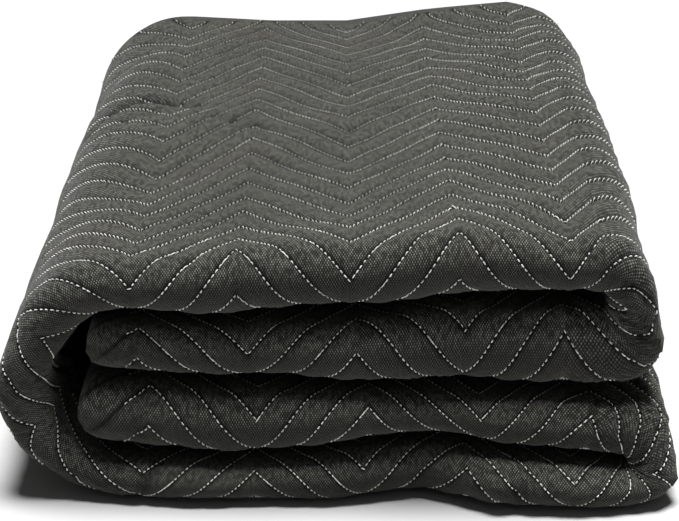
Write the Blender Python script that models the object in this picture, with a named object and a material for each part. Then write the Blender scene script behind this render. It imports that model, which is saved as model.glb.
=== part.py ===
"""A quilted moving pad, folded into a pile of four double layers.

The pad is one quilted cloth. It is first halved, which makes a long strip of two plies with a rounded
nose along its front edge, and the strip is then folded from both ends to the middle and once more.
So the whole pile is one section, a hairpin of two plies, carried along one path of four layers: two tight
folds on the right, one big roll on the left, and both free ends tucked inside that roll.
The pile is first built regular, then its points are moved by smooth functions to the uneven real heights.

Metres, +X to the right, +Y to the back, +Z up, origin under the middle of the pile, noses towards -Y.
"""

import bmesh
import bpy
import numpy as np

# The regular pile
DEPTH = 0.855  # nose to back hem
FRONT = -DEPTH / 2
LAYERS = 4
PITCH = 0.0555  # from one double layer to the next
HALF = 0.0255  # half the thickness of a double layer
SLIT = 0.0045  # half the air gap between the two plies of a layer
FULL_HEIGHT = (LAYERS - 1) * PITCH + 2 * HALF
LEVEL = {4: HALF, 3: HALF + PITCH, 2: HALF + 2 * PITCH, 1: HALF + 3 * PITCH}  # layer 1 is on top
FREE_END_X = -0.215  # where layers 2 and 3 end inside the left roll
ROLL_X = -0.181  # axis of the left roll
ROLL_RADIUS = (LEVEL[1] - LEVEL[4]) / 2
FOLD_X = {"upper": 0.216, "lower": 0.233}  # axes of the two right folds
FOLD_RADIUS = PITCH / 2

# Hems: the plies thin down to these at the back edge and at the free ends
HEM_BAND = 0.032
HEM_OUT = 0.0165  # outer skin from the middle of the layer, at the back hem
HEM_IN = 0.0065  # inner skin from the middle of the layer, at the back hem
HEM_ROUND = 0.003
END_HALF = 0.013
END_SLIT = 0.0015
END_ROUND = 0.024  # a free end is rounded off over this length

# Quilting: zigzag rows of stitches, which run from turn to turn across the strip
ROW = 0.0417  # from one row to the next
ROWS_DEEP = 3  # a row's next turn is this many rows nearer to one hem, less or more by its tips
RELIEF = 0.0048  # how deep the stitches pull the cloth in

# Where the zigzag turns on each layer, left to right, and where the tip of a row lies there, measured
# along the outer skin from the front of the nose
TURNS = {
    1: (-0.172, -0.0845, 0.0085, 0.0975, 0.188),
    2: (-0.168, -0.076, 0.014, 0.104, 0.186),
    3: (-0.159, -0.069, 0.0245, 0.1176, 0.204),
    4: (-0.165, -0.072, 0.020, 0.107, 0.195),
}
TIPS = {
    1: (-0.0018, 0.0069, 0.0020, 0.0092, 0.0111),
    2: (-0.0109, 0.0020, 0.0028, 0.0143, 0.0137),
    3: (0.0040, -0.0059, -0.0158, -0.0022, -0.0180),
    4: (0.0142, 0.0220, 0.0117, 0.0142, 0.0120),
}
FOLD_TIPS = {"upper": 0.012, "lower": -0.003}  # one turn half way round each right fold
ROLL_TIPS = (0.003, 0.009)  # and two turns round the roll

# Height of the top. A row for each distance behind the noses, a column for each place across.
TOP_ACROSS = (-0.172, -0.083, 0.009, 0.100, 0.193, 0.250)
TOP_BEHIND = (0.03, 0.12, 0.24, 0.45, 0.70, 0.84)
TOP_HEIGHT = (
    (0.219, 0.231, 0.238, 0.245, 0.240, 0.240),
    (0.216, 0.225, 0.229, 0.243, 0.249, 0.249),
    (0.213, 0.225, 0.233, 0.240, 0.257, 0.257),
    (0.233, 0.243, 0.245, 0.244, 0.265, 0.263),
    (0.249, 0.251, 0.250, 0.252, 0.271, 0.262),
    (0.258, 0.253, 0.253, 0.267, 0.277, 0.260),
)

# Heights of the gaps between the noses, as the front shows them, left to right
GAP_ACROSS = (-0.24, -0.20, -0.10, 0.00, 0.10, 0.20, 0.27)
GAP_HEIGHT = {
    "under layer 3": (0.053, 0.045, 0.036, 0.048, 0.055, 0.043, 0.030),
    "under layer 2": (0.109, 0.111, 0.104, 0.103, 0.102, 0.094, 0.094),
    "under layer 1": (0.164, 0.165, 0.161, 0.165, 0.180, 0.183, 0.166),
}
GAP_FADE = 0.30  # behind the noses by this much, the gaps are evenly spaced again

# How far each nose stands forward, left to right
NOSE_ACROSS = (-0.24, -0.12, 0.00, 0.07, 0.13, 0.20, 0.27)
NOSE_FORWARD = {
    1: (-0.006, 0.000, 0.002, 0.003, 0.002, 0.000, -0.006),
    2: (-0.010, -0.010, -0.006, -0.004, -0.005, -0.007, -0.010),
    3: (-0.008, -0.004, -0.003, -0.005, 0.000, 0.003, -0.004),
    4: (-0.010, 0.004, 0.000, -0.014, 0.020, 0.022, 0.008),
}

# How far the sides bulge out, for each distance behind the noses of TOP_BEHIND
SIDE_FROM = (0.12, 0.24)  # from the middle, where the bulge starts and where it is full
LEFT_OUT = (0.001, 0.002, 0.004, 0.002, 0.000, 0.008)
RIGHT_OUT = (0.000, 0.001, 0.003, 0.007, 0.013, 0.014)

# How far the folds are pushed out at each height of the regular pile: the right ones are pressed square on
# the floor and on each other, and the left roll sags. Further back less of it is left.
FOLDS_FROM = (0.185, 0.228)  # from the middle, where the push starts and where it is full
FOLDS_HEIGHT = (0.000, 0.030, 0.067, 0.080, 0.105, 0.135, 0.155, 0.170)
FOLDS_OUT = (0.009, 0.008, 0.0035, 0.0055, 0.021, 0.018, 0.0045, 0.0)
FOLDS_KEPT = 0.3  # share of the push that is left further back
ROLL_FROM = (0.150, 0.235)
ROLL_HEIGHT = (0.000, 0.030, 0.050, 0.090, 0.140, 0.180, 0.215)
ROLL_OUT = (0.004, 0.0095, 0.0105, 0.004, -0.006, -0.006, 0.0)
ROLL_KEPT = 0.0
KEPT_BEHIND = (0.05, 0.40)

PLACE = (-0.0024, 0.0109)  # moves the pile so that the middle of its bounding box is at x = 0, y = 0

# Mesh lines
FOLD_STEPS = 8
ROLL_STEPS = 10
INNER_STEPS = 4
NOSE_LINES = 9
PLAIN_NOSE = 0.045  # straight lines reach this far each way from the front of a nose
PLAIN_HEM = 0.815  # zigzag lines end this far from it
ROW_RANGE = (-39, 5)  # half rows that have a line
EASING = 0.010  # how softly the zigzag lines close up at both ends
UNDER_LINES = (0.07, 0.13, 0.26, 0.44, 0.64)  # straight lines on the left-hand skin


def arc(centre_x, centre_z, radius, first, last, steps):
    """Points on an arc in the XZ plane, with the angles in degrees and the first point left out."""
    angles = np.radians(np.linspace(first, last, steps + 1)[1:])
    return [(centre_x + radius * np.cos(a), centre_z + radius * np.sin(a)) for a in angles]


def layer_stops(layer, left, right):
    """Places across a layer where the mesh has a line: its ends, the zigzag's turns and half way between."""
    stops = [left] + [x for x in TURNS[layer] if left < x < right] + [right]
    halves = [(a + b) / 2 for a, b in zip(stops, stops[1:]) if b - a > 0.03]
    return sorted(stops + halves)


def run(layer, left, right, leftwards=False):
    """Points along one layer, in the order in which the path passes them."""
    stops = layer_stops(layer, left, right)
    if leftwards:
        stops = stops[::-1]
    return [(x, LEVEL[layer]) for x in stops]


def strip_path():
    """The middle of the two-ply strip, from its free end in layer 2 to its free end in layer 3."""
    upper, lower = FOLD_X["upper"], FOLD_X["lower"]
    end_stops = (FREE_END_X, FREE_END_X + 0.008)
    path = [(x, LEVEL[2]) for x in end_stops]
    path += run(2, ROLL_X, upper)
    path += arc(upper, (LEVEL[1] + LEVEL[2]) / 2, FOLD_RADIUS, -90, 90, FOLD_STEPS)
    path += run(1, ROLL_X, upper, leftwards=True)[1:]
    path += arc(ROLL_X, (LEVEL[1] + LEVEL[4]) / 2, ROLL_RADIUS, 90, 270, ROLL_STEPS)
    path += run(4, ROLL_X, lower)[1:]
    path += arc(lower, (LEVEL[3] + LEVEL[4]) / 2, FOLD_RADIUS, -90, 90, FOLD_STEPS)
    path += run(3, ROLL_X, lower, leftwards=True)[1:]
    path += [(x, LEVEL[3]) for x in end_stops[::-1]]
    return np.array(path)


def along(path):
    """Length of the path up to each of its points."""
    return np.concatenate([[0], np.cumsum(np.linalg.norm(np.diff(path, axis=0), axis=1))])


def left_normals(path):
    """Unit normals on the left hand of the path, which is its inner side in every fold."""
    step = np.gradient(path, axis=0)
    ends = np.diff(path, axis=0)
    straight = np.isclose(path[1:, 1], path[:-1, 1])
    for i in range(1, len(path) - 1):
        if straight[i - 1] or straight[i]:
            step[i] = ends[i] if straight[i] else ends[i - 1]
    step /= np.linalg.norm(step, axis=1)[:, None]
    return np.stack([-step[:, 1], step[:, 0]], axis=1)


def row_shift(path):
    """Where row 0 lies at each point of the path: straight from each turn of the zigzag to the next."""
    length = along(path)

    def place(x, layer):
        return length[np.argmin(np.abs(path[:, 0] - x) + np.abs(path[:, 1] - LEVEL[layer]))]

    turns = [(place(x, 2), tip) for x, tip in zip(TURNS[2], TIPS[2])]
    turns.append((place(FOLD_X["upper"], 2) + np.pi * FOLD_RADIUS / 2, FOLD_TIPS["upper"]))
    turns += [(place(x, 1), tip) for x, tip in zip(TURNS[1][::-1], TIPS[1][::-1])]
    for share, tip in zip((1 / 3, 2 / 3), ROLL_TIPS):
        turns.append((place(ROLL_X, 1) + share * np.pi * ROLL_RADIUS, tip))
    turns += [(place(x, 4), tip) for x, tip in zip(TURNS[4], TIPS[4])]
    turns.append((place(FOLD_X["lower"], 4) + np.pi * FOLD_RADIUS / 2, FOLD_TIPS["lower"]))
    turns += [(place(x, 3), tip) for x, tip in zip(TURNS[3][::-1], TIPS[3][::-1])]
    places, tips = np.array(turns).T
    return np.interp(length, places, tips - np.arange(len(tips)) % 2 * ROWS_DEEP * ROW)


def smooth(low, high, value):
    """0 below low, 1 above high, and an even ramp with soft ends between."""
    t = np.clip((value - low) / (high - low), 0, 1)
    return t * t * (3 - 2 * t)


def eased(reach, softness):
    """A reach that stays above zero: itself where it is large, and ever nearer to zero below that."""
    return (reach + np.sqrt(reach * reach + 4 * softness * softness)) / 2


def row_lines(shift):
    """The mesh lines on the outer skin at one station: (distance from the nose's front, share of the relief).

    Distance is negative on the right-hand skin of the path, which is the top of the pile. There two lines
    follow each zigzag row, one in its groove and one on the puff between, and they close up where they come
    near the plain nose and the plain hem. The nose and the left-hand skin have straight lines.
    """
    lines = []
    span = PLAIN_HEM - PLAIN_NOSE
    for half in range(*ROW_RANGE):
        back = -(shift + half * ROW / 2) - PLAIN_NOSE
        place = span - eased(span - eased(back, EASING), EASING)
        room = smooth(0, 0.045, place) * smooth(0, 0.045, span - place)
        lines.append((-PLAIN_NOSE - place, room * (half % 2 == 0)))
    lines += [(float(s), 0.0) for s in np.linspace(-PLAIN_NOSE, PLAIN_NOSE, NOSE_LINES)]
    lines += [(s, 0.0) for s in UNDER_LINES]
    return lines


def skin_point(s, half, inset):
    """A point of the outer skin, s along it from the nose's front: (y, offset along the left normal)."""
    quarter = np.pi * half / 2
    angle = np.clip(np.abs(s) / half, 0, np.pi / 2)
    y = FRONT + HALF - (half - inset) * np.cos(angle) + np.maximum(np.abs(s) - quarter, 0)
    return y, np.sign(s) * (half - inset) * np.sin(angle)


def section(half, slit, shift, relief):
    """The closed outline of the two plies at one station, as points (y, offset along the left normal)."""
    back = DEPTH / 2
    points = []

    def hem(side):
        """The hem's edge from its outer to its inner skin; side is -1 on the right-hand ply."""
        out, inner = HEM_OUT * half / HALF, HEM_IN * half / HALF
        return [
            (back - HEM_BAND, side * half),
            (back - HEM_ROUND, side * out),
            (back, side * (out - HEM_ROUND)),
            (back, side * (inner + HEM_ROUND)),
            (back - HEM_ROUND, side * inner),
        ]

    points += hem(-1)[::-1]
    for s, share in row_lines(shift):
        points.append(skin_point(s, half, share * RELIEF * relief))
    points += hem(1)
    inner_front = FRONT + HALF - slit
    for y in np.linspace(back - HEM_BAND, inner_front + 2 * slit, INNER_STEPS):
        points.append((y, slit))
    points.append((inner_front, 0.0))
    for y in np.linspace(inner_front + 2 * slit, back - HEM_BAND, INNER_STEPS):
        points.append((y, -slit))
    return points


def stations():
    """Every section of the pile, still regular, as an array (station, point, xyz)."""
    path = strip_path()
    normal = left_normals(path)
    length = along(path)
    shift = row_shift(path)
    to_end = np.minimum(length, length[-1] - length)
    to_round = 1 - np.minimum(to_end / END_ROUND, 1)
    body = np.sqrt(1 - to_round * to_round)
    half = END_HALF + (HALF - END_HALF) * body
    slit = END_SLIT + (SLIT - END_SLIT) * body
    quilted = smooth(HEM_BAND * 0.8, HEM_BAND * 1.6, to_end)
    out = []
    for i, (x, z) in enumerate(path):
        on_floor = smooth(0.0, 0.02, PITCH - z) * smooth(-0.03, 0.03, x - ROLL_X)
        loop = np.array(section(half[i], slit[i], shift[i], quilted[i] * (1 - on_floor)))
        y, n = loop[:, 0], loop[:, 1]
        out.append(np.stack([x + n * normal[i, 0], y, z + n * normal[i, 1]], axis=1))
    return np.array(out)


def top_height(x, behind):
    """Height of the top at a place across and a distance behind the noses, between the table's values."""
    rows = np.array([np.interp(x, TOP_ACROSS, row) for row in TOP_HEIGHT])
    at = np.interp(behind, TOP_BEHIND, np.arange(len(TOP_BEHIND)))
    low = np.clip(np.floor(at).astype(int), 0, len(TOP_BEHIND) - 2)
    share = smooth(0, 1, at - low)
    column = np.arange(len(x))
    return rows[low, column] * (1 - share) + rows[low + 1, column] * share


def settle_heights(x, y, z):
    """Heights of the real pile: its gaps at the front, evened out further back, under the uneven top."""
    behind = y - FRONT
    top = top_height(x, behind)
    plain = [LEVEL[4] + HALF + k * PITCH + (PITCH / 2 - HALF) for k in range(3)]
    names = ("under layer 3", "under layer 2", "under layer 1")
    front = 1 - smooth(0.06, GAP_FADE, behind)
    knots = [np.zeros_like(x)]
    for level, name in zip(plain, names):
        even = level * top / FULL_HEIGHT
        shown = np.interp(x, GAP_ACROSS, GAP_HEIGHT[name])
        knots.append(even + front * (shown - even))
    knots.append(top)
    levels = [0.0] + plain + [FULL_HEIGHT]
    out = np.zeros_like(z)
    for low, high, below, above in zip(levels, levels[1:], knots, knots[1:]):
        share = np.clip((z - low) / (high - low), 0, 1)
        out += share * (above - below)
    return out


def push_noses(x, y, z):
    """Moves the front of each layer forward or back, and leaves the back hem alone."""
    behind = y - FRONT
    order = (4, 3, 2, 1)
    forward = np.array([np.interp(x, NOSE_ACROSS, NOSE_FORWARD[layer]) for layer in order])
    at = np.interp(z, [LEVEL[layer] for layer in order], np.arange(LAYERS))
    low = np.clip(np.floor(at).astype(int), 0, LAYERS - 2)
    share = smooth(0, 1, at - low)
    column = np.arange(len(x))
    shift = forward[low, column] * (1 - share) + forward[low + 1, column] * share
    return y - shift * (1 - smooth(0.05, 0.5, behind))


def widen(x, y, z):
    """Moves the sides out to their bulge, presses the right folds square and lets the left roll sag."""
    behind = y - FRONT
    right = np.interp(behind, TOP_BEHIND, RIGHT_OUT)
    left = np.interp(behind, TOP_BEHIND, LEFT_OUT)
    bulge = smooth(*SIDE_FROM, np.abs(x)) * np.where(x > 0, right, -left)
    further = smooth(*KEPT_BEHIND, behind)
    folds = smooth(*FOLDS_FROM, x) * np.interp(z, FOLDS_HEIGHT, FOLDS_OUT) * (1 - (1 - FOLDS_KEPT) * further)
    roll = smooth(*ROLL_FROM, -x) * np.interp(z, ROLL_HEIGHT, ROLL_OUT) * (1 - (1 - ROLL_KEPT) * further)
    return x + bulge + folds - roll


def settle(points):
    """The real place of each point of the regular pile."""
    x, y, z = points.T
    across, deep = widen(x, y, z) + PLACE[0], push_noses(x, y, z) + PLACE[1]
    return np.stack([across, deep, settle_heights(x, y, z)], axis=1)


def pad_mesh():
    """One closed mesh: the sections joined by bands, and the two free ends filled."""
    rings = stations()
    count, points = rings.shape[:2]
    bm = bmesh.new()
    verts = [[bm.verts.new(p) for p in ring] for ring in rings.tolist()]
    for i in range(count - 1):
        for j in range(points):
            k = (j + 1) % points
            bm.faces.new((verts[i][j], verts[i][k], verts[i + 1][k], verts[i + 1][j]))
    bm.faces.new(verts[0][::-1])
    bm.faces.new(verts[-1])
    bmesh.ops.triangulate(bm, faces=bm.faces[:], quad_method="SHORT_EDGE", ngon_method="EAR_CLIP")
    bmesh.ops.recalc_face_normals(bm, faces=bm.faces[:])
    mesh = bpy.data.meshes.new("quilted_pad")
    bm.to_mesh(mesh)
    bm.free()
    flat = np.empty(len(mesh.vertices) * 3)
    mesh.vertices.foreach_get("co", flat)
    mesh.vertices.foreach_set("co", settle(flat.reshape(-1, 3)).ravel())
    mesh.update()
    return mesh


def cover_cloth():
    """Charcoal woven cover, matt."""
    material = bpy.data.materials.new("cover_cloth")
    material.use_nodes = True
    bsdf = material.node_tree.nodes["Principled BSDF"]
    bsdf.inputs["Base Color"].default_value = (0.055, 0.058, 0.050, 1)
    bsdf.inputs["Roughness"].default_value = 0.9
    bsdf.inputs["Metallic"].default_value = 0.0
    return material


def main():
    for item in list(bpy.data.objects):
        bpy.data.objects.remove(item)
    mesh = pad_mesh()
    mesh.materials.append(cover_cloth())
    mesh.shade_smooth()
    mesh.set_sharp_from_angle(angle=np.radians(50))
    pad = bpy.data.objects.new("quilted_pad", mesh)
    bpy.context.scene.collection.objects.link(pad)


main()
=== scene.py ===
# %% [markdown]
# # A folded moving pad
# A moving pad is one thick quilted cloth: two woven covers with soft filling between them, sewn together
# in zigzag rows. Here it lies folded. It was halved front to back, so the front shows rounded noses, and
# then the long strip was folded again into four layers, with one big roll on the left.
# The frame below is the finished solid of the pad. This lesson dresses it: the cloth with every puff and
# groove of its quilting, the stitches one by one, and the light of a plain studio.

import bpy
import numpy as np
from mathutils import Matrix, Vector


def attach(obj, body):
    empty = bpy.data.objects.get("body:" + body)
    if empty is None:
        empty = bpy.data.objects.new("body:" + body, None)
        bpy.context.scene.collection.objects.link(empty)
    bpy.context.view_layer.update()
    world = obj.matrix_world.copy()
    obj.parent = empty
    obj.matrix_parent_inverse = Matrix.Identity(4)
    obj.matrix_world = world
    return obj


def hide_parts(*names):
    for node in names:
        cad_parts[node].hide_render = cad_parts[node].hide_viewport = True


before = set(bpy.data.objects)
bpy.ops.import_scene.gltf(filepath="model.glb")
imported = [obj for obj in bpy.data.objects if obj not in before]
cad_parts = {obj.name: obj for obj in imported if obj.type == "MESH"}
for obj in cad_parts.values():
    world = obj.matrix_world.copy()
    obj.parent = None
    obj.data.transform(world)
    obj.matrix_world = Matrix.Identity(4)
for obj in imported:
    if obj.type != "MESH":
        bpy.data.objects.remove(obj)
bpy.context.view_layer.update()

# %% [markdown]
# ## Sizes of the pile
# All sizes are in metres. The pile is worked out regular first, as if each layer were straight and level,
# and a few small tables then move it to the uneven heights of the real one.

# %% Sizes of the regular pile
DEPTH = 0.855  # from the noses to the back hem
FRONT = -DEPTH / 2
PITCH = 0.0555  # from one double layer to the next
HALF = 0.0255  # half the thickness of a double layer
SLIT = 0.0045  # half the air gap between its two plies
LEVEL = {4: HALF, 3: HALF + PITCH, 2: HALF + 2 * PITCH, 1: HALF + 3 * PITCH}
FULL_HEIGHT = LEVEL[1] + HALF
FREE_END_X = -0.215
ROLL_X = -0.181
ROLL_RADIUS = (LEVEL[1] - LEVEL[4]) / 2
FOLD_X = {"upper": 0.216, "lower": 0.233}
FOLD_RADIUS = PITCH / 2

HEM_BAND = 0.032  # plain band along the back and at the free ends
HEM_OUT = 0.0165  # outer side of a ply at its back edge, from the middle of the layer
HEM_IN = 0.0065  # inner side there
HEM_ROUND = 0.003
END_HALF = 0.013  # half the thickness at a free end
END_SLIT = 0.0015
END_ROUND = 0.024  # a free end is rounded off over this length
print("middles of the layers", {layer: round(level, 4) for layer, level in LEVEL.items()})

# %% [markdown]
# ## The strip and its folds
# Every fold turns the strip the same way, so the strip is easiest to give by its heading: level, then half
# a turn in the upper fold, level, half a turn in the big roll, level, half a turn in the lower fold, level.
# Adding up small steps along the heading gives the place of every point.

# %% The path of the strip
STRETCHES = (
    ("layer 2", FOLD_X["upper"] - FREE_END_X, 0),
    ("upper fold", np.pi * FOLD_RADIUS, np.pi),
    ("layer 1", FOLD_X["upper"] - ROLL_X, 0),
    ("roll", np.pi * ROLL_RADIUS, np.pi),
    ("layer 4", FOLD_X["lower"] - ROLL_X, 0),
    ("lower fold", np.pi * FOLD_RADIUS, np.pi),
    ("layer 3", FOLD_X["lower"] - FREE_END_X, 0),
)
PATH_STEPS = 20000
knot_lengths = np.cumsum([0.0] + [length for _, length, _ in STRETCHES])
knot_headings = np.cumsum([0.0] + [turn for _, _, turn in STRETCHES])
START = {name: knot_lengths[i] for i, (name, _, _) in enumerate(STRETCHES)}
TOTAL = knot_lengths[-1]

fine_length = np.linspace(0, TOTAL, PATH_STEPS + 1)
middle_heading = np.interp((fine_length[1:] + fine_length[:-1]) / 2, knot_lengths, knot_headings)
fine_x = FREE_END_X + np.cumsum(np.append(0, np.cos(middle_heading))) * TOTAL / PATH_STEPS
fine_z = LEVEL[2] + np.cumsum(np.append(0, np.sin(middle_heading))) * TOTAL / PATH_STEPS


def strip(length):
    """Place and heading of the strip's middle: a sum of small steps whose heading turns evenly in a fold."""
    heading = np.interp(length, knot_lengths, knot_headings)
    return np.interp(length, fine_length, fine_x), np.interp(length, fine_length, fine_z), heading


print(f"strip {TOTAL:.3f} m long, ends at x {fine_x[-1]:.3f}, z {fine_z[-1]:.3f}")

# %% [markdown]
# ## The zigzag
# The rows of stitches run across the strip and turn every 9 cm or so. Because the cloth is folded, a turn
# that points down on one nose points up on the next. So the turns are counted along the strip, and each
# second one lies three rows further from the front. The halving fold was not quite true, so the tips of the
# rows wander a little past it, and a table gives where each one lies.

# %% Rows and their turns
ROW = 0.0417
ROWS_DEEP = 3
TURNS = {
    1: (-0.172, -0.0845, 0.0085, 0.0975, 0.188),
    2: (-0.168, -0.076, 0.014, 0.104, 0.186),
    3: (-0.159, -0.069, 0.0245, 0.1176, 0.204),
    4: (-0.165, -0.072, 0.020, 0.107, 0.195),
}
TIPS = {
    1: (-0.0018, 0.0069, 0.0020, 0.0092, 0.0111),
    2: (-0.0109, 0.0020, 0.0028, 0.0143, 0.0137),
    3: (0.0040, -0.0059, -0.0158, -0.0022, -0.0180),
    4: (0.0142, 0.0220, 0.0117, 0.0142, 0.0120),
}
FOLD_TIPS = {"upper": 0.012, "lower": 0.045}
ROLL_TIPS = (0.003, 0.009)
END_TIPS = (0.002, -0.004)  # of turns past the free ends, where the rows run off the cloth
PAST_ENDS = (0.05, 0.04)  # how far those lie past the ends
turn_lengths = np.concatenate([
    [-PAST_ENDS[0]],
    np.array(TURNS[2]) - FREE_END_X,
    [START["upper fold"] + np.pi * FOLD_RADIUS / 2],
    START["layer 1"] + FOLD_X["upper"] - np.array(TURNS[1])[::-1],
    START["roll"] + np.pi * ROLL_RADIUS * np.array([1, 2]) / 3,
    START["layer 4"] + np.array(TURNS[4]) - ROLL_X,
    [START["lower fold"] + np.pi * FOLD_RADIUS / 2],
    START["layer 3"] + FOLD_X["lower"] - np.array(TURNS[3])[::-1],
    [TOTAL + PAST_ENDS[1]],
])
tips = np.concatenate([
    END_TIPS[:1], TIPS[2], [FOLD_TIPS["upper"]], TIPS[1][::-1], ROLL_TIPS,
    TIPS[4], [FOLD_TIPS["lower"]], TIPS[3][::-1], END_TIPS[1:],
])
turn_shifts = tips - (np.arange(len(tips)) + 1) % 2 * ROWS_DEEP * ROW


def row_shift(length):
    """Distance of row 0 from the front of the nose: straight from each turn to the next along the strip."""
    return np.interp(length, turn_lengths, turn_shifts)


print(len(turn_lengths), "turns along the strip")

# %% [markdown]
# ## The uneven real pile
# The photo gives the height of the top at each row, and the height of the gaps between the noses. The
# regular pile is carried there by two smooth moves: one in height, one towards the front.

# %% Tables of the real pile
TOP_ACROSS = (-0.172, -0.083, 0.009, 0.100, 0.193, 0.250)  # places across of the heights of the top
TOP_BEHIND = (0.03, 0.12, 0.24, 0.45, 0.70, 0.84)  # and their distances behind the noses, one to a row
TOP_HEIGHT = (
    (0.219, 0.231, 0.238, 0.245, 0.240, 0.240),
    (0.216, 0.225, 0.229, 0.243, 0.249, 0.249),
    (0.213, 0.225, 0.233, 0.240, 0.257, 0.257),
    (0.233, 0.243, 0.245, 0.244, 0.265, 0.263),
    (0.249, 0.251, 0.250, 0.252, 0.271, 0.262),
    (0.258, 0.253, 0.253, 0.267, 0.277, 0.260),
)
GAP_ACROSS = (-0.24, -0.20, -0.10, 0.00, 0.10, 0.20, 0.27)  # places across of the three gaps' heights
GAP_HEIGHT = (
    (0.053, 0.045, 0.036, 0.048, 0.055, 0.043, 0.030),
    (0.109, 0.111, 0.104, 0.103, 0.102, 0.094, 0.094),
    (0.164, 0.165, 0.161, 0.165, 0.180, 0.183, 0.166),
)
GAP_FADE = 0.30
NOSE_ACROSS = (-0.24, -0.12, 0.00, 0.07, 0.13, 0.20, 0.27)
NOSE_FORWARD = {  # how far each layer's nose stands forward
    1: (-0.006, 0.000, 0.002, 0.003, 0.002, 0.000, -0.006),
    2: (-0.010, -0.010, -0.006, -0.004, -0.005, -0.007, -0.010),
    3: (-0.008, -0.004, -0.003, -0.005, 0.000, 0.003, -0.004),
    4: (-0.010, 0.004, 0.000, -0.014, 0.020, 0.022, 0.008),
}
SIDE_FROM = (0.12, 0.24)  # the sides bulge from this far out, and fully from here
LEFT_OUT = (0.001, 0.002, 0.004, 0.002, 0.000, 0.008)
RIGHT_OUT = (0.000, 0.001, 0.003, 0.007, 0.013, 0.014)
FOLDS_FROM = (0.185, 0.228)  # the right folds are pressed square over this stretch across
FOLDS_HEIGHT = (0.000, 0.030, 0.067, 0.080, 0.105, 0.135, 0.155, 0.170)
FOLDS_OUT = (0.009, 0.008, 0.0035, 0.0055, 0.021, 0.018, 0.0045, 0.0)
FOLDS_KEPT = 0.3  # share of it that is left at the back
ROLL_FROM = (0.150, 0.235)  # and the left roll sags over this one
ROLL_HEIGHT = (0.000, 0.030, 0.050, 0.090, 0.140, 0.180, 0.215)
ROLL_OUT = (0.004, 0.0095, 0.0105, 0.004, -0.006, -0.006, 0.0)
KEPT_BEHIND = (0.05, 0.40)  # the shaping of folds and roll fades between these distances
GAPS_FROM = 0.06  # the fitted gaps between noses fade from here to GAP_FADE
NOSE_FADE = (0.05, 0.50)  # and the forward places of the noses fade between these
PLACE = (-0.0024, 0.0109)  # centres the pile on the origin
print(len(TOP_HEIGHT), "rows of top heights,", len(GAP_HEIGHT), "rows of gaps")

# %% Settling the pile


def smooth(low, high, value):
    """0 below low, 1 above high, and t*t*(3-2t) between."""
    t = np.clip((value - low) / (high - low), 0, 1)
    return t * t * (3 - 2 * t)


def between(rows, at):
    """Goes from row to row of stacked values, with the row number as a real number and soft steps."""
    low = np.clip(np.floor(at).astype(int), 0, len(rows) - 2)
    share = smooth(0, 1, at - low)
    column = np.arange(rows.shape[1])
    return rows[low, column] * (1 - share) + rows[low + 1, column] * share


def widen(x, behind, z):
    """Places across of the real pile: bulging sides, right folds pressed square, and a roll that sags."""
    side = smooth(*SIDE_FROM, np.abs(x))
    right = np.interp(behind, TOP_BEHIND, RIGHT_OUT)
    left = np.interp(behind, TOP_BEHIND, LEFT_OUT)
    bulge = side * np.where(x > 0, right, -left)
    further = smooth(*KEPT_BEHIND, behind)
    folds = smooth(*FOLDS_FROM, x) * np.interp(z, FOLDS_HEIGHT, FOLDS_OUT) * (1 - (1 - FOLDS_KEPT) * further)
    roll = smooth(*ROLL_FROM, -x) * np.interp(z, ROLL_HEIGHT, ROLL_OUT) * (1 - further)
    return x + bulge + folds - roll


def settle(points):
    """The real place of points of the regular pile: heights of top and gaps, noses forward, sides out."""
    x, y, z = points.reshape(-1, 3).T
    behind = y - FRONT
    tops = np.array([np.interp(x, TOP_ACROSS, row) for row in TOP_HEIGHT])
    top = between(tops, np.interp(behind, TOP_BEHIND, np.arange(len(TOP_BEHIND))))
    plain = [PITCH * (k + 1) - (PITCH / 2 - HALF) for k in range(3)]
    front = 1 - smooth(GAPS_FROM, GAP_FADE, behind)
    knots = [np.zeros_like(x)]
    for level, row in zip(plain, GAP_HEIGHT):
        even = level * top / FULL_HEIGHT
        knots.append(even + front * (np.interp(x, GAP_ACROSS, row) - even))
    knots.append(top)
    levels = [0.0] + plain + [FULL_HEIGHT]
    height = np.minimum(z, 0)
    for low, high, below, above in zip(levels, levels[1:], knots, knots[1:]):
        reach = z - low if high == FULL_HEIGHT else np.minimum(z - low, high - low)
        height = height + np.maximum(reach, 0) / (high - low) * (above - below)
    order = (4, 3, 2, 1)
    forward = np.array([np.interp(x, NOSE_ACROSS, NOSE_FORWARD[layer]) for layer in order])
    shift = between(forward, np.interp(z, [LEVEL[layer] for layer in order], np.arange(4)))
    deep = y - shift * (1 - smooth(*NOSE_FADE, behind))
    moved = np.stack([widen(x, behind, z) + PLACE[0], deep + PLACE[1], height], axis=1)
    return moved.reshape(points.shape)


corner = np.array([[0.0, FRONT, FULL_HEIGHT]])
print("a point at the top of the front goes to", settle(corner).round(3)[0])

# %% [markdown]
# ## The skin of the cloth
# A point of the outer skin has two numbers: its length along the strip, and its distance from the front of
# the nose, negative on the side that shows on top. The skin runs back level and turns round the nose as a
# half circle. The stitches pull it in along each row, and it puffs up between rows.

# %% The quilted skin
GROOVE_FLAT = 0.0042  # depth of a row's groove where the layer lies flat
GROOVE_NOSE = 0.0024  # and round a nose, where the cloth is stretched
FLAT_FROM = (0.03, 0.09)  # distances from the nose between which a groove gets its flat depth
PRESSED_GROOVE = 0.8  # share of a groove that the floor presses out
PUFF_POWER = 0.80  # below 1 the puffs are full and the grooves narrow
# Soft lumps of the filling: how fast they go along and across, phase, size
LUMPS = (
    (9.0, 7.0, 0.3, 0.0011),
    (17.0, -12.0, 1.9, 0.0009),
    (-23.0, 19.0, 4.0, 0.0007),
    (41.0, 29.0, 2.2, 0.0004),
)
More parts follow.
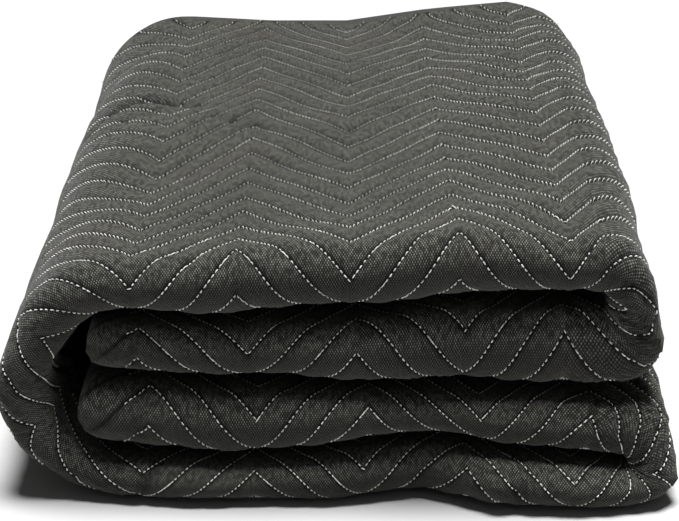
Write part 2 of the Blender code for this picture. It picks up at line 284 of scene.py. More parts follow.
# Creases: place along the strip, distance from the nose, half width along, half width the other way, turn
# in degrees, depth
CREASES = (
    (START["layer 1"] + 0.356, -0.030, 0.030, 0.0040, 62, 0.0030),
    (START["layer 1"] + 0.338, -0.024, 0.022, 0.0035, 75, 0.0022),
    (START["roll"] + 0.118, -0.020, 0.026, 0.0035, 20, 0.0035),
    (START["roll"] + 0.140, -0.012, 0.022, 0.0030, -25, 0.0030),
    (START["roll"] + 0.160, -0.030, 0.026, 0.0035, 10, 0.0030),
    (START["layer 4"] - 0.040, -0.020, 0.030, 0.0040, 50, 0.0030),
    (START["lower fold"] + 0.020, 0.012, 0.020, 0.0030, 40, 0.0025),
    (START["lower fold"] + 0.050, 0.020, 0.020, 0.0030, -35, 0.0025),
    (START["roll"] + 0.0025, -0.515, 0.034, 0.0075, -33, 0.0110),
    (START["roll"] + 0.055, -0.532, 0.034, 0.0075, 5, 0.0090),
    (START["roll"] + 0.030, -0.470, 0.030, 0.0080, 15, 0.0030),
    (START["layer 1"] + 0.320, -0.420, 0.040, 0.0060, -38, 0.0030),
    (START["upper fold"] + 0.030, 0.004, 0.026, 0.0045, 65, 0.0050),
    (START["upper fold"] + 0.055, -0.010, 0.030, 0.0045, 40, 0.0050),
    (START["upper fold"] + 0.010, -0.004, 0.022, 0.0040, 85, 0.0035),
    (START["layer 1"] + 0.012, -0.022, 0.026, 0.0045, -50, 0.0040),
    (START["layer 4"] + 0.020, 0.004, 0.030, 0.0045, 70, 0.0040),
    (START["layer 4"] + 0.330, 0.000, 0.026, 0.0050, 65, 0.0050),
    (TOTAL - 0.046, 0.000, 0.030, 0.0040, 88, 0.0035),
    (0.044, 0.002, 0.030, 0.0040, 92, 0.0035),
)
# Where the cloth is bunched in small wrinkles: place along the strip, distance from the nose, reach both ways
BUNCHED = (
    (START["roll"] + 0.150, -0.010, 0.070, 0.050),
    (START["layer 1"] + 0.350, -0.015, 0.050, 0.035),
    (START["upper fold"] + 0.030, 0.005, 0.060, 0.045),
    (START["upper fold"] - 0.050, 0.005, 0.050, 0.040),
    (START["lower fold"] + 0.070, 0.000, 0.060, 0.040),
    (START["layer 4"] + 0.010, 0.000, 0.060, 0.040),
    (0.025, 0.0, 0.045, 0.060),
    (TOTAL - 0.030, 0.0, 0.060, 0.060),
)
END_PLAIN = (0.8, 1.4)  # quilting starts between these shares of the hem band from a free end
BACK_PLAIN = 0.02  # and over this length in front of the back band
FLOOR_START = (-0.02, 0.04)  # the pressed part begins over this stretch after the roll
FLOOR_END = (-0.02, 0.02)  # and ends over this one at the lower fold
FLOOR_NOSE = (0.035, 0.06)  # and it leaves out the nose
print(len(CREASES), "creases,", len(BUNCHED), "bunched places")

# %% Quilting, creases and pressed parts


def row_number(length, s):
    """Row of a point of the skin, as a real number: whole on the stitches and half way on a puff."""
    return (s - row_shift(length)) / ROW


def body(length):
    """1 along the strip and 0 at both of its free ends, rounded off between: sqrt(1 - (1 - t)^2)."""
    to_round = 1 - np.clip(np.minimum(length, TOTAL - length) / END_ROUND, 0, 1)
    return np.sqrt(1 - to_round * to_round)


def layer_half(length):
    """Half the thickness of the double layer, thinner at both free ends of the strip."""
    return END_HALF + (HALF - END_HALF) * body(length)


def quilted(length, s):
    """1 where the rows are sewn and 0 on the plain hems."""
    to_end = np.minimum(length, TOTAL - length)
    back = DEPTH - np.abs(s)
    from_end = smooth(HEM_BAND * END_PLAIN[0], HEM_BAND * END_PLAIN[1], to_end)
    return from_end * smooth(HEM_BAND, HEM_BAND + BACK_PLAIN, back)


def on_floor(length, s):
    """1 where the bottom of the lowest layer is pressed on the floor."""
    after_roll = smooth(*FLOOR_START, length - START["layer 4"])
    before_fold = 1 - smooth(*FLOOR_END, length - START["lower fold"])
    return after_roll * before_fold * smooth(*FLOOR_NOSE, -s)


def creased(length, s, narrow=1.0):
    """Depth of the creases: a long narrow bell, exp(-u*u - v*v), for each."""
    out = np.zeros(np.broadcast(length, s).shape)
    for place, distance, half_a, half_b, turn, deep in CREASES:
        a, b = length - place, s - distance
        c, d = np.cos(np.radians(turn)), np.sin(np.radians(turn))
        u, v = (a * c + b * d) / half_a, (b * c - a * d) / half_b / narrow
        out += deep * np.exp(-u * u - v * v)
    return out


def bunched(length, s):
    """0 on smooth cloth, towards 1 on bunched cloth: 1 less the product of 1 - exp(-u*u - v*v)."""
    smooth_part = np.ones(np.broadcast(length, s).shape)
    for place, distance, reach_a, reach_b in BUNCHED:
        u, v = (length - place) / reach_a, (s - distance) / reach_b
        smooth_part *= 1 - np.exp(-u * u - v * v)
    return 1 - smooth_part


def facing_up(length, s):
    """Upward part of the skin's direction: sign(s) sin(angle) cos(heading)."""
    _, _, heading = strip(length)
    angle = np.clip(np.abs(s) / layer_half(length), 0, np.pi / 2)
    return np.sign(s) * np.sin(angle) * np.cos(heading)


def inset(length, s):
    """How far the skin lies inside the plain form: grooves along the rows, soft lumps and creases."""
    flat = smooth(*FLAT_FROM, np.abs(s))
    depth = GROOVE_NOSE + (GROOVE_FLAT - GROOVE_NOSE) * flat
    depth = depth * (1 - PRESSED_GROOVE * on_floor(length, s))
    puff = np.abs(np.sin(np.pi * row_number(length, s))) ** PUFF_POWER
    out = depth * (1 - puff) * quilted(length, s)
    for along, across, phase, size in LUMPS:
        out = out + size * (1 + np.sin(along * length * 2 + across * s * 2 + phase))
    return out + creased(length, s)


def skin(length, s, lift=0.0):
    """Real places of points of the outer skin: a level run and a half circle, less the inset."""
    length, s, lift = np.broadcast_arrays(length, s, lift)
    x, z, heading = strip(length)
    half = layer_half(length)
    radius = half - inset(length, s) + lift
    angle = np.clip(np.abs(s) / half, 0, np.pi / 2)
    y = FRONT + HALF - radius * np.cos(angle) + np.maximum(np.abs(s) - np.pi * half / 2, 0)
    out = np.sign(s) * radius * np.sin(angle)
    regular = np.stack([x - out * np.sin(heading), y, z + out * np.cos(heading)], axis=-1)
    return settle(regular)


crest_point = skin(START["layer 1"] + FOLD_X["upper"], 0.0)
print("front of the top nose", crest_point.round(3))

# %% [markdown]
# ## The cloth as one mesh
# The mesh has a section of the two plies at each station of the strip. Its lines follow the stitch rows, with
# lines close together near each groove, so that the grooves stay crisp where they turn. Both free ends are
# closed. Four maps go with it: one in metres along and across the cloth for its weave, one along and across
# the rows for the puckers beside the stitches and the painted shade of the grooves, one for the painted
# shade of creases and for bunched places, and one for painted light that makes the parts facing up paler.

# %% Lines and stations
LINES_IN_ROW = (0.0, 0.06, 0.15, 0.3, 0.5, 0.7, 0.85, 0.94)
LINES_UNDER = (0.0, 0.5)
DENSE_ROWS = (-20, 7)  # rows that show
THIN_ROWS = (7, 23)  # rows on the hidden side, with few lines
HEM_EASING = 0.004  # lines crowd together over about this length before the hem
HEM_MARGIN = 0.002
STATIONS = 350


def hem_limited(s):
    """Distances that stop softly at the hem: limit - (e + sqrt(e*e + 4k*k))/2 with e = limit - s."""
    limit = DEPTH - HEM_BAND - HEM_MARGIN
    room = limit - np.abs(s)
    return np.sign(s) * (limit - (room + np.sqrt(room * room + 4 * HEM_EASING**2)) / 2)


def row_list():
    """Row numbers of the mesh lines, front to back on both sides of the nose."""
    dense = [r + part for r in range(*DENSE_ROWS) for part in LINES_IN_ROW]
    thin = [r + part for r in range(*THIN_ROWS) for part in LINES_UNDER]
    return np.array(dense + thin)


def stations():
    """Lengths where the mesh has a section: evenly spaced, with one on every turn of the rows."""
    even = np.linspace(0, TOTAL, STATIONS)
    turns = turn_lengths[(turn_lengths > 0) & (turn_lengths < TOTAL)]
    near = np.abs(even[:, None] - turns[None, :]).argmin(axis=0)
    even[near] = turns
    return even


lengths, rows = stations(), row_list()
print(len(lengths), "stations,", len(rows), "row lines")

# %% Meshes from points


def new_piece(name, points, faces, maps):
    """A smooth mesh from points and faces, with each map's pair of values at every point."""
    mesh = bpy.data.meshes.new(name)
    mesh.from_pydata(points.reshape(-1, 3), [], faces)
    corners = np.empty(len(mesh.loops), dtype=np.int32)
    mesh.loops.foreach_get("vertex_index", corners)
    for title, values in maps.items():
        layer = mesh.uv_layers.new(name=title)
        layer.uv.foreach_set("vector", values.reshape(-1, 2)[corners].astype(np.float32).ravel())
    mesh.shade_smooth()
    mesh.update()
    piece = bpy.data.objects.new(name, mesh)
    bpy.context.scene.collection.objects.link(piece)
    return piece


def closed_tube(name, points, maps):
    """A piece from rings of points: four-sided faces between rings, closed all round and at both ends."""
    rings, count = points.shape[:2]
    index = np.arange(rings * count).reshape(rings, count)
    right = np.roll(index, -1, axis=1)
    quads = np.stack([index[:-1], right[:-1], right[1:], index[1:]], axis=-1).reshape(-1, 4)
    faces = quads[:, ::-1].tolist() + [index[0].tolist(), index[-1][::-1].tolist()]
    return new_piece(name, points, faces, maps)


print("two helpers for meshes")

# %% Build the cloth
EDGE_POINTS = 5  # round the back edge of a ply
NOSE_POINTS = 5  # and round the inside of the nose
INNER_LINES = 9
INNER_STEP = 0.006  # step of the weave from line to line inside
ON_PUFF = 0.5  # row number of the inside, which has no grooves
CREASE_LINE = 0.7  # the painted shade along a crease is narrower than its dent
DEEP_CREASE = 0.006  # a crease this deep gets the darkest painted shade
TOP_LIGHT_FACING = (-0.30, 0.50)  # painted light: how far up the skin must face to start being painted paler, and to be painted fully paler
ROW_STRETCH = 1.65  # length of a row over the length of the strip under it


def inner_section(half, slit):
    """Back edge, inner side and inner nose of each section, as distances back and out from its middle."""
    turn = np.radians(np.linspace(90, -90, EDGE_POINTS))[None, :]
    middle, round_half = (HEM_OUT + HEM_IN) / 2, (HEM_OUT - HEM_IN) / 2
    edge_out = (middle + round_half * np.sin(turn)) * half / HALF
    edge_y = DEPTH / 2 - HEM_ROUND + HEM_ROUND * np.cos(turn) + 0 * half
    front = FRONT + HALF - slit
    share = np.linspace(1, 0, INNER_LINES)[None, :]
    inner_y = front + slit + (DEPTH / 2 - HEM_BAND - front - slit) * share
    nose = np.radians(np.linspace(90, -90, NOSE_POINTS)[1:-1])[None, :]
    nose_y, nose_out = front + slit - slit * np.cos(nose), slit * np.sin(nose)
    side_y = np.concatenate([edge_y, inner_y], axis=1)
    side_out = np.concatenate([edge_out, slit + 0 * inner_y], axis=1)
    y = np.concatenate([side_y, nose_y, side_y[:, ::-1]], axis=1)
    out = np.concatenate([side_out, nose_out, -side_out[:, ::-1]], axis=1)
    return y, out


def cloth_maps(run, s, inner_y):
    """The cloth's four maps at every point: weave in metres, rows, painted crease shade with bunching, and
    painted top light.
    """
    inside = np.zeros_like(inner_y)
    inner_down = s[:, -1:] + np.cumsum(np.full_like(inner_y, INNER_STEP), axis=1)
    down = np.concatenate([s, inner_down], axis=1)
    number = np.concatenate([row_number(run, s), inside + ON_PUFF], axis=1)
    # Painted shade: darkness along the creases, for the colour
    crease = np.concatenate([creased(run, s, CREASE_LINE) / DEEP_CREASE, inside], axis=1)
    bunch = np.concatenate([bunched(run, s), inside], axis=1)
    # Painted light: the parts of the skin that face up are to be painted paler
    painted_top_light = np.concatenate([smooth(*TOP_LIGHT_FACING, facing_up(run, s)), inside], axis=1)
    return {
        "cloth": np.stack([run + 0 * down, down], axis=-1),
        "rows": np.stack([run * ROW_STRETCH + 0 * down, number], axis=-1),
        "crease_shade_and_bunching": np.stack([np.minimum(crease, 1), bunch], axis=-1),
        "painted_top_light": np.stack([painted_top_light, 0 * painted_top_light], axis=-1),
    }


def cloth_grid():
    """All points of the cloth, station by station round its closed section, with its maps."""
    run = lengths[:, None]
    s = hem_limited(rows[None, :] * ROW + row_shift(run))
    x, z, heading = strip(run)
    slit = END_SLIT + (SLIT - END_SLIT) * body(run)
    y, out = inner_section(layer_half(run), slit)
    inner = settle(np.stack([x - out * np.sin(heading), y, z + out * np.cos(heading)], axis=-1))
    points = np.concatenate([skin(run, s), inner], axis=1)
    points[..., 2] = np.maximum(points[..., 2], 0)
    return points, cloth_maps(run, s, y)


cloth = closed_tube("quilted_cloth", *cloth_grid())
print("cloth", len(cloth.data.polygons), "faces")

# %% [markdown]
# ## Shader maths
# A material is easier to read as a sum than as a web of nodes. This class wraps one socket, so that an
# expression such as pale * (1 + grain) adds the Math nodes that it needs.

# %% One class for shader sums


class Shade:
    """One shader socket. + - * and ** on it add Math nodes, and node() adds any other node."""

    def __init__(self, tree, socket=None):
        self.tree = tree
        self.socket = socket

    def node(self, kind, settings=None, inputs=None, output=0):
        """Adds a node: its type, settings, values or links of its sockets, and the output to go on with."""
        made = self.tree.nodes.new(kind)
        for name, value in (settings or {}).items():
            setattr(made, name, value)
        for name, value in (inputs or {}).items():
            if isinstance(value, Shade):
                self.tree.links.new(value.socket, made.inputs[name])
            else:
                made.inputs[name].default_value = value
        return Shade(self.tree, made.outputs[output])

    def math(self, operation, first, second=0.0):
        return self.node("ShaderNodeMath", {"operation": operation}, {0: first, 1: second})

    def __add__(self, other):
        return self.math("ADD", self, other)

    def __radd__(self, other):
        return self.math("ADD", other, self)

    def __sub__(self, other):
        return self.math("SUBTRACT", self, other)

    def __mul__(self, other):
        return self.math("MULTIPLY", self, other)

    def __pow__(self, other):
        return self.math("POWER", self, other)

    def sine(self):
        return self.math("SINE", self)

    def size(self):
        return self.math("ABSOLUTE", self)

    def ramp(self, low, high, start=0.0, end=1.0):
        """Smooth step from start, at low, to end, at high."""
        places = {"Value": self, "From Min": low, "From Max": high, "To Min": start, "To Max": end}
        return self.node("ShaderNodeMapRange", {"interpolation_type": "SMOOTHSTEP"}, places)

    def uv(self, title):
        """A map of the piece, as a vector."""
        return self.node("ShaderNodeUVMap", {"uv_map": title})

    def parts(self):
        """The two coordinates of a map."""
        split = self.tree.nodes.new("ShaderNodeSeparateXYZ")
        self.tree.links.new(self.socket, split.inputs[0])
        return Shade(self.tree, split.outputs[0]), Shade(self.tree, split.outputs[1])

    def blend(self, share, first, second):
        """A colour between two, by share."""
        return self.node("ShaderNodeMix", {"data_type": "RGBA"}, {0: share, 6: first, 7: second}, output=2)

    def joined(self, x, y, z=0.0):
        """A vector from three numbers."""
        return self.node("ShaderNodeCombineXYZ", None, {0: x, 1: y, 2: z})

    def noise(self, vector, scale, detail=2.0, roughness=0.5):
        """Soft random values from 0 to 1 over a vector."""
        places = {"Vector": vector, "Scale": scale, "Detail": detail, "Roughness": roughness}
        return self.node("ShaderNodeTexNoise", None, places)

    def bump(self, strength, distance):
        """A normal from this height."""
        places = {"Strength": strength, "Distance": distance, "Height": self}
        return self.node("ShaderNodeBump", None, places)

    def feed(self, socket):
        """Links this value to a socket of another node."""
        self.tree.links.new(self.socket, socket)


def new_material(name, constants):
    """A material with a Principled shader: (material, inputs of its shader, a Shade to start sums from)."""
    material = bpy.data.materials.new(name)
    material.use_nodes = True
    inputs = material.node_tree.nodes["Principled BSDF"].inputs
    for title, value in constants.items():
        inputs[title].default_value = value
    return material, inputs, Shade(material.node_tree)


print("Shade has", len([name for name in vars(Shade) if name not in vars(object)]), "members")

# %% [markdown]
# ## The charcoal cover
# The cover is a coarse woven cloth. Seen close, its threads cross in a diamond lattice of small lighter
# knots, 2 mm apart. Painted light makes it paler on the parts that face up, and painted shade makes it
# almost black in the grooves and creases. The weave reads the map in metres, so it keeps its size on every
# fold.

# %% Numbers of the cover
WEAVE_ALONG = 0.0022
WEAVE_DOWN = 0.0040  # two rows of knots, one set half way between the other
WEAVE_DRIFT = 1.8  # how far the threads wander, in radians of the weave
KNOT_POWER = 4  # makes the light knots small
CHARCOAL = (0.0060, 0.0061, 0.0042, 1)
# Colour of the painted shade in grooves and creases
CHARCOAL_PAINTED_SHADE = (0.0020, 0.0020, 0.0015, 1)
CHARCOAL_KNOT = (0.300, 0.304, 0.262, 1)
RUSTY = (0.046, 0.032, 0.029, 1)
# Noises over the cloth: scale in waves to the metre, detail, roughness
NOISES = {
    "drift": (55.0, 2.0, 0.5),
    "uneven": (700.0, 2.0, 0.6),
    "patch": (9.0, 3.0, 0.55),
    "wide": (3.1, 2.0, 0.5),
    "speck": (330.0, 1.0, 0.5),
    "pucker": (130.0, 2.0, 0.5),
    "crumple": (70.0, 3.0, 0.55),
    "folds": (110.0, 2.0, 0.55),
}
SPECK_LONG = 0.45  # specks are longer front to back than across, by the inverse of this
PUCKER_LONG = 0.012  # puckers run from row to row
FOLDS_LONG = 0.3
BEHIND_THREAD = 0.04  # the painted shade of a groove is darkest just behind its thread, by this share of a row
CORE = (0.05, 0.24)  # the dark painted shade line of a groove ends between these heights of the puff
GROOVE_WIDE = 0.6  # and its soft painted shade ends here
PUCKER_FROM = (0.0, 0.6)  # puckers are full where the mask of that soft painted shade is above the second
# Ramps: noise from, noise to, result at each
KNOT_UNEVEN = (0.25, 0.75, 0.45, 1.25)
GRAIN = (0.34, 0.66, -0.62, 0.70)
PATCH_FROM = (0.35, 0.75)
UNEVEN_PALE, PATCH_PALE = 0.05, 0.03
GRAIN_SIDES, GRAIN_TOP = 0.15, 0.85  # share of the grain everywhere, and what the painted top light adds to it
# Painted light: the knots' paleness goes from the first on parts facing sideways or down to the second on the
# top
PALE_SIDES, PALE_TOP = 0.35, 0.89
RUST_PATCH, RUST_WIDE, RUST_SHARE = (0.52, 0.72), (0.45, 0.62), 0.45
# Strength of the painted shade in the grooves, along their dark lines and in the creases
GROOVE_PAINTED_SHADE, CORE_PAINTED_SHADE, CREASE_PAINTED_SHADE = 0.62, 0.9, 0.9
# Heights of the bump in metres
KNOT_HIGH = 0.00022
UNEVEN_HIGH = 0.0003
PUCKER_HIGH = 0.0022
CRUMPLE_HIGH = 0.0026
FOLDS_HIGH = 0.0090
COVER_BUMP = 0.9
COVER_CONSTANTS = {
    "Roughness": 0.92,
    "Specular IOR Level": 0.2,
    "Sheen Weight": 0.12,
    "Sheen Roughness": 0.5,
}
print(len(NOISES), "noises in the cover")

# %% Cover material


def cover_colour(start, knots, uneven, near_row, groove):
    """Charcoal with light knots and rust, paler by painted light where it faces up, darker by painted shade
    in grooves and creases.
    """
    weave = start.uv("cloth")
    along, down = weave.parts()
    crease, _ = start.uv("crease_shade_and_bunching").parts()
    painted_top_light, _ = start.uv("painted_top_light").parts()
    patch = start.noise(weave, *NOISES["patch"])
    wide = start.noise(weave, *NOISES["wide"])
    speck = start.noise(start.joined(along, down * SPECK_LONG), *NOISES["speck"])
    knot_light = (knots * 0.5 + 0.5) ** KNOT_POWER * uneven.ramp(*KNOT_UNEVEN)
    pale = knot_light + uneven * UNEVEN_PALE + patch.ramp(*PATCH_FROM) * PATCH_PALE
    # Painted light: grain and paleness are stronger where the skin faces up, as if lit from above
    grain = speck.ramp(*GRAIN) * (GRAIN_SIDES + painted_top_light * GRAIN_TOP)
    pale = pale * (1 + grain) * painted_top_light.ramp(0.0, 1.0, PALE_SIDES, PALE_TOP)
    # Painted shade: a dark line along each groove, just behind its thread
    core = near_row.ramp(*CORE, 1.0, 0.0)
    colour = start.blend(pale, CHARCOAL, CHARCOAL_KNOT)
    rust = patch.ramp(*RUST_PATCH) * wide.ramp(*RUST_WIDE) * RUST_SHARE
    colour = start.blend(rust, colour, RUSTY)
    # Painted shade, darkest in the grooves and creases
    colour = start.blend(groove * GROOVE_PAINTED_SHADE, colour, CHARCOAL_PAINTED_SHADE)
    colour = start.blend(core * CORE_PAINTED_SHADE, colour, CHARCOAL_PAINTED_SHADE)
    return start.blend(crease * CREASE_PAINTED_SHADE, colour, CHARCOAL_PAINTED_SHADE)


def cover_height(start, knots, uneven, groove):
    """Height of the knots, of puckers beside the rows and of small wrinkles, more where cloth is bunched."""
    weave = start.uv("cloth")
    along, down = weave.parts()
    run, number = start.uv("rows").parts()
    _, bunch = start.uv("crease_shade_and_bunching").parts()
    pucker = start.noise(start.joined(run, number * PUCKER_LONG), *NOISES["pucker"]) - 0.5
    crumple = start.noise(weave, *NOISES["crumple"]) - 0.5
    folds = start.noise(start.joined(along, down * FOLDS_LONG), *NOISES["folds"]) - 0.5
    height = knots * KNOT_HIGH + uneven * UNEVEN_HIGH + pucker * groove.ramp(*PUCKER_FROM) * PUCKER_HIGH
    return height + crumple * CRUMPLE_HIGH + folds * bunch * FOLDS_HIGH


def cover_material():
    """Charcoal weave: sin(along) sin(down) gives the lattice of knots, and |sin(row)| the grooves' painted
    shade and puckers.
    """
    material, inputs, start = new_material("charcoal_cover", COVER_CONSTANTS)
    weave = start.uv("cloth")
    along, down = weave.parts()
    _, number = start.uv("rows").parts()
    drift = (start.noise(weave, *NOISES["drift"]) - 0.5) * WEAVE_DRIFT
    across_knots = (along * (2 * np.pi / WEAVE_ALONG) + drift).sine()
    knots = across_knots * (down * (2 * np.pi / WEAVE_DOWN) + drift).sine()
    uneven = start.noise(weave, *NOISES["uneven"])
    # Painted shade: near_row and groove mark the grooves for the painted shade in the colour; groove also
    # sets where the puckers are
    near_row = ((number + BEHIND_THREAD) * np.pi).sine().size()
    groove = near_row.ramp(0.0, GROOVE_WIDE, 1.0, 0.0)
    cover_colour(start, knots, uneven, near_row, groove).feed(inputs["Base Color"])
    cover_height(start, knots, uneven, groove).bump(COVER_BUMP, 1.0).feed(inputs["Normal"])
    return material


cloth.data.materials.append(cover_material())
print("cover material nodes", len(cloth.data.materials[0].node_tree.nodes))

# %% [markdown]
# ## The stitches
# The rows are sewn in off-white thread, about 5 mm to a stitch. Each stitch is a short arched piece of
# thread that dips into the cloth at both ends. All rows have the same shape, so one list of places serves
# them all, shifted a little from row to row. Only rows that show are sewn, and each group is one mesh.

# %% Places of the stitches
STITCH_PITCH = 0.0053
UNEVEN_PITCH = 0.0003
ROW_SPAN = (-22, 23)
HEM_CLEAR = 0.006  # stitches stop this far before the back band
END_CLEAR = 1.1  # and this share of the band from a free end
rng = np.random.default_rng(7)


def stitch_places():
    """Length along the strip, distance from the nose and direction of every stitch of every row."""
    slope = np.gradient(row_shift(fine_length), fine_length)
    sewn = np.concatenate([[0], np.cumsum(np.hypot(1, slope[1:]) * np.diff(fine_length))])
    numbers = np.arange(*ROW_SPAN)[:, None]
    marks = np.arange(0, sewn[-1], STITCH_PITCH)[None, :]
    marks = marks + rng.uniform(0, STITCH_PITCH, numbers.shape)
    marks = marks + rng.normal(0, UNEVEN_PITCH, (len(numbers), marks.shape[1]))
    along = np.interp(marks, sewn, fine_length)
    down = numbers * ROW + row_shift(along)
    tilt = np.interp(along, fine_length, slope)
    inside = np.abs(down) < DEPTH - HEM_BAND - HEM_CLEAR
    keep = inside & (np.minimum(along, TOTAL - along) > HEM_BAND * END_CLEAR)
    return along[keep], down[keep], tilt[keep]


along, down, tilt = stitch_places()
print(len(along), "places for stitches")

# %% Form of a stitch
STITCH_LENGTH = 0.0036
LONG_STITCH = 0.0082  # where the needle skipped a hole
LONG_SHARE = 0.06
LONG_NEAR = 0.12  # skipped holes are only put this near to the nose
LENGTH_RANGE = (0.8, 1.15)
TONE_RANGE = (0.72, 1.05)
SHORTEST = 0.7  # length and rise of a fully sunk stitch
LOWEST = 0.5
THREAD = 0.00058  # radius
STITCH_RISE = 0.0010
TOP_RISE = 0.0018  # how much more it stands up on the flat top
RISE_FROM = (0.04, 0.10)
DIP = 0.0002  # how far its ends go into the cloth
PROBE = 0.001  # step outward that finds the way up
TAPER = (1.15, 0.15)  # thickness is the root of the first less t*t, and at least the root of the second
STITCH_AROUND = 5
STITCH_STEPS = 4
TOP_FROM = (0.05, 0.16)
SUNK_FROM = (0.10, 0.19)  # thread sinks in from the right side of the top
RAISED_FROM, RAISED_SHARE = (0.33, 0.40), 0.55  # and comes up again on the left
SUNK_LEAST, SUNK_CLUMPS = 0.12, 0.42
CLUMPS = ((31, 23, 0), (11, -47, 1))  # waves of the clumps of sunk thread: along, across, phase


def shown(along, down):
    """How much of each stitch shows: all on the noses and the right of the top, less where it is sunk."""
    on_top = smooth(*TOP_FROM, -down) * (along > START["layer 1"]) * (along < START["layer 4"])
    from_right = along - START["layer 1"]
    sunk = smooth(*SUNK_FROM, from_right) * (1 - RAISED_SHARE * smooth(*RAISED_FROM, from_right))
    first, second = (np.sin(along * a + down * b + phase) for a, b, phase in CLUMPS)
    return 1 - on_top * sunk * (SUNK_LEAST + SUNK_CLUMPS * (0.5 + 0.5 * first * second))


def stitch_middles(along, down, tilt, show):
    """Middle line of each stitch, raised as 1 - t*t along it, and the way up at each of its points."""
    t = np.linspace(-1, 1, STITCH_STEPS + 1)[None, :]
    long_one = (rng.random(along.shape) < LONG_SHARE) & (np.abs(down) < LONG_NEAR)
    reach = np.where(long_one, LONG_STITCH, STITCH_LENGTH * (SHORTEST + (1 - SHORTEST) * show)) / 2
    reach = (reach * rng.uniform(*LENGTH_RANGE, along.shape))[:, None]
    unit = np.hypot(1, tilt)[:, None]
    run = along[:, None] + t * reach / unit
    drop = down[:, None] + t * reach * tilt[:, None] / unit
    high = STITCH_RISE + TOP_RISE * smooth(*RISE_FROM, np.abs(down)) - TOP_RISE * on_floor(along, down)
    rise = (high * (LOWEST + (1 - LOWEST) * show))[:, None] * (1 - t * t) - DIP
    middle = skin(run, drop, rise)
    up = skin(run, drop, rise + PROBE) - middle
    return middle, up / np.linalg.norm(up, axis=-1, keepdims=True)


def stitch_tubes(middle, up):
    """Rings of points round each line: middle + radius (cos(a) up + sin(a) side), thinner at its ends."""
    t = np.linspace(-1, 1, middle.shape[1])[None, :]
    side = np.cross(np.gradient(middle, axis=1), up)
    side /= np.linalg.norm(side, axis=-1, keepdims=True)
    turn = np.linspace(0, 2 * np.pi, STITCH_AROUND, endpoint=False)
    taper = THREAD * np.sqrt(np.clip(TAPER[0] - t * t, TAPER[1], 1))
    ring = np.cos(turn)[:, None] * up[:, :, None, :] + np.sin(turn)[:, None] * side[:, :, None, :]
    return middle[:, :, None, :] + ring * taper[..., None, None]


def sew(name, along, down, tilt):
    """One piece with a closed tube for each stitch, and its tone in a map."""
    show = shown(along, down)
    points = stitch_tubes(*stitch_middles(along, down, tilt, show))
    # Painted shade: a sunk stitch is also painted darker, as if in the shade of its groove
    tone = np.clip(show * rng.uniform(*TONE_RANGE, along.shape), 0, 1)
    index = np.arange(points.size // 3).reshape(points.shape[:3])
    near, far = index[:, :-1], index[:, 1:]
    quads = np.stack([near, np.roll(near, -1, axis=2), np.roll(far, -1, axis=2), far], axis=-1).reshape(-1, 4)
    ends = np.concatenate([index[:, 0, ::-1], index[:, -1]])
    tones = np.repeat(tone, points.shape[1] * points.shape[2])
    maps = {"tone": np.stack([tones, 0 * tones], axis=-1)}
    print(name, len(along), "stitches,", len(quads) * 2 + len(ends) * (STITCH_AROUND - 2), "triangles")
    return new_piece(name, points, quads.tolist() + ends.tolist(), maps)


print("one stitch has", STITCH_STEPS + 1, "rings of", STITCH_AROUND, "points")

# %% Sew the rows
FRONT_REACH = 0.11  # the front group reaches this far from the nose
FAR_FROM = -0.45  # the far group of the top starts here
top_side = (along > START["upper fold"]) & (along < START["layer 4"]) & (down < 0)
lower_side = (along > START["lower fold"]) & (along < START["layer 3"]) & (down < 0)
under_side = (along >= START["layer 4"]) & (along <= START["lower fold"]) & (down < 0)
front = np.abs(down) < FRONT_REACH
far = down < FAR_FROM
groups = {
    "stitches_front": front,
    "stitches_top": top_side & ~front & ~far,
    "stitches_top_far": top_side & far,
    "stitches_side": lower_side & ~front,
    "stitches_under": under_side & ~front,
}
threads = [sew(name, along[mask], down[mask], tilt[mask]) for name, mask in groups.items()]

# %% Thread material
THREAD_COLOUR = (0.92, 0.92, 0.86, 1)
# Darkest thread: the painted shade of sunk stitches, and worn thread
THREAD_DULL = (0.10, 0.10, 0.088, 1)
WORN_NOISE = (60.0, 2.0, 0.6)
WORN = (0.40, 0.75, 1.0, 0.6)
TWIST_NOISE = (2500.0, 1.0, 0.5)
TWIST_BUMP = (0.5, 0.0003)  # strength, height in metres
OBJECT_PLACE = 3  # output of the Texture Coordinate node with the object's own metres


def thread_material():
    """Off-white spun thread with a fine twist, darker by painted shade where it is sunk in the cloth, and
    duller where worn.
    """
    material, inputs, start = new_material("off_white_thread", {"Roughness": 0.7})
    place = start.node("ShaderNodeTexCoord", output=OBJECT_PLACE)
    tone, _ = start.uv("tone").parts()
    bright = tone * start.noise(place, *WORN_NOISE).ramp(*WORN)
    start.blend(bright, THREAD_DULL, THREAD_COLOUR).feed(inputs["Base Color"])
    start.noise(place, *TWIST_NOISE).bump(*TWIST_BUMP).feed(inputs["Normal"])
    return material


thread_finish = thread_material()
for piece in threads:
    piece.data.materials.append(thread_finish)
print("threads finished")

# %% [markdown]
# ## Who stands for what
# The cloth stands for the solid of the pad, and the stitches ride with it.

# %% Join the pieces to the frame
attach(cloth, "root")
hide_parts("quilted_pad")
for piece in threads:
    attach(piece, "root")
print("joined", 1 + len(threads), "pieces")

# %% [markdown]
# ## Studio
# A pale floor, a large soft light from above, and a weak one from the front right. The camera
# stands 1.5 m in front of the noses and looks down on the pile.

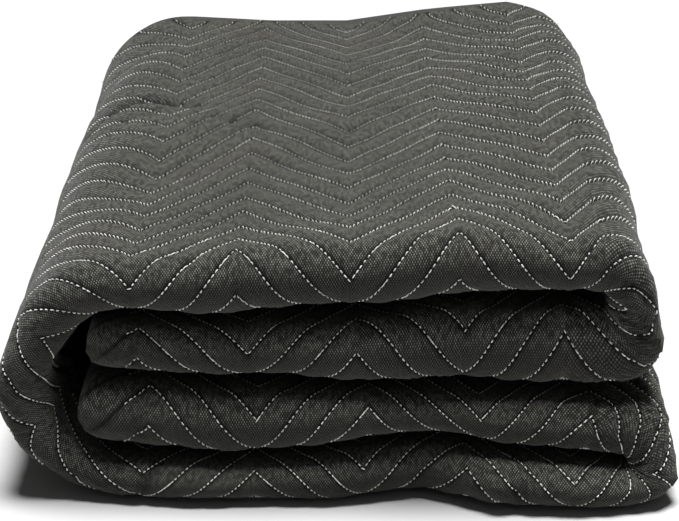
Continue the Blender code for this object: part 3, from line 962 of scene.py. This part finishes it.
# %% Floor
FLOOR_HALF = 30.0
FLOOR_DROP = 0.0005
FLOOR_GREY = 0.60
floor_corners = np.array([(-1, -1, 0), (1, -1, 0), (1, 1, 0), (-1, 1, 0)]) * FLOOR_HALF
floor = new_piece("floor", floor_corners, [(0, 1, 2, 3)], {})
floor.location.z = -FLOOR_DROP
floor_look = {"Base Color": (FLOOR_GREY, FLOOR_GREY, FLOOR_GREY, 1), "Roughness": 0.9}
floor.data.materials.append(new_material("pale_floor", floor_look)[0])
print("floor", 2 * FLOOR_HALF, "m wide")

# %% Lights
KEY_FROM = (0.08, 0.02, 2.0)
KEY = {"energy": 5.5, "angle": np.radians(24)}
FILL_FROM, FILL_TO = (0.6, -2.4, 1.6), (0, -0.3, 0.1)
FILL = {"energy": 0.6, "size": 1.4}
SKY_STRENGTH = 0.06


def lamp(name, kind, place, target, settings):
    """A lamp that looks from a place at a point."""
    data = bpy.data.lights.new(name, kind)
    for title, value in settings.items():
        setattr(data, title, value)
    made = bpy.data.objects.new(name, data)
    made.location = place
    aim = np.array(target) - np.array(place)
    made.rotation_euler = Vector(aim).to_track_quat("-Z", "Y").to_euler()
    bpy.context.scene.collection.objects.link(made)


lamp("key", "SUN", KEY_FROM, (0, 0, 0), KEY)
lamp("front_fill", "AREA", FILL_FROM, FILL_TO, FILL)
world = bpy.data.worlds.new("studio")
world.use_nodes = True
world.node_tree.nodes["Background"].inputs["Color"].default_value = (1, 1, 1, 1)
world.node_tree.nodes["Background"].inputs["Strength"].default_value = SKY_STRENGTH
bpy.context.scene.world = world
print("key, fill and sky")

# %% Camera
FOCAL_PIXELS = 2000  # focal length in pixels of the photo
FRAME_WIDTH = 679  # pixels
SENSOR = 36.0  # millimetres
CAMERA_BEFORE = 1.534
CAMERA_HEIGHT = 0.7345
CAMERA_DOWN = 18.5  # degrees
camera_data = bpy.data.cameras.new("camera")
camera_data.sensor_width = SENSOR
camera_data.lens = FOCAL_PIXELS / FRAME_WIDTH * SENSOR
camera = bpy.data.objects.new("camera", camera_data)
camera.location = (PLACE[0], PLACE[1] + FRONT - CAMERA_BEFORE, CAMERA_HEIGHT)
camera.rotation_euler = (np.radians(90 - CAMERA_DOWN), 0, 0)
bpy.context.scene.collection.objects.link(camera)
bpy.context.scene.camera = camera
bpy.context.scene.view_settings.view_transform = "Standard"
print(f"lens {camera_data.lens:.1f} mm")
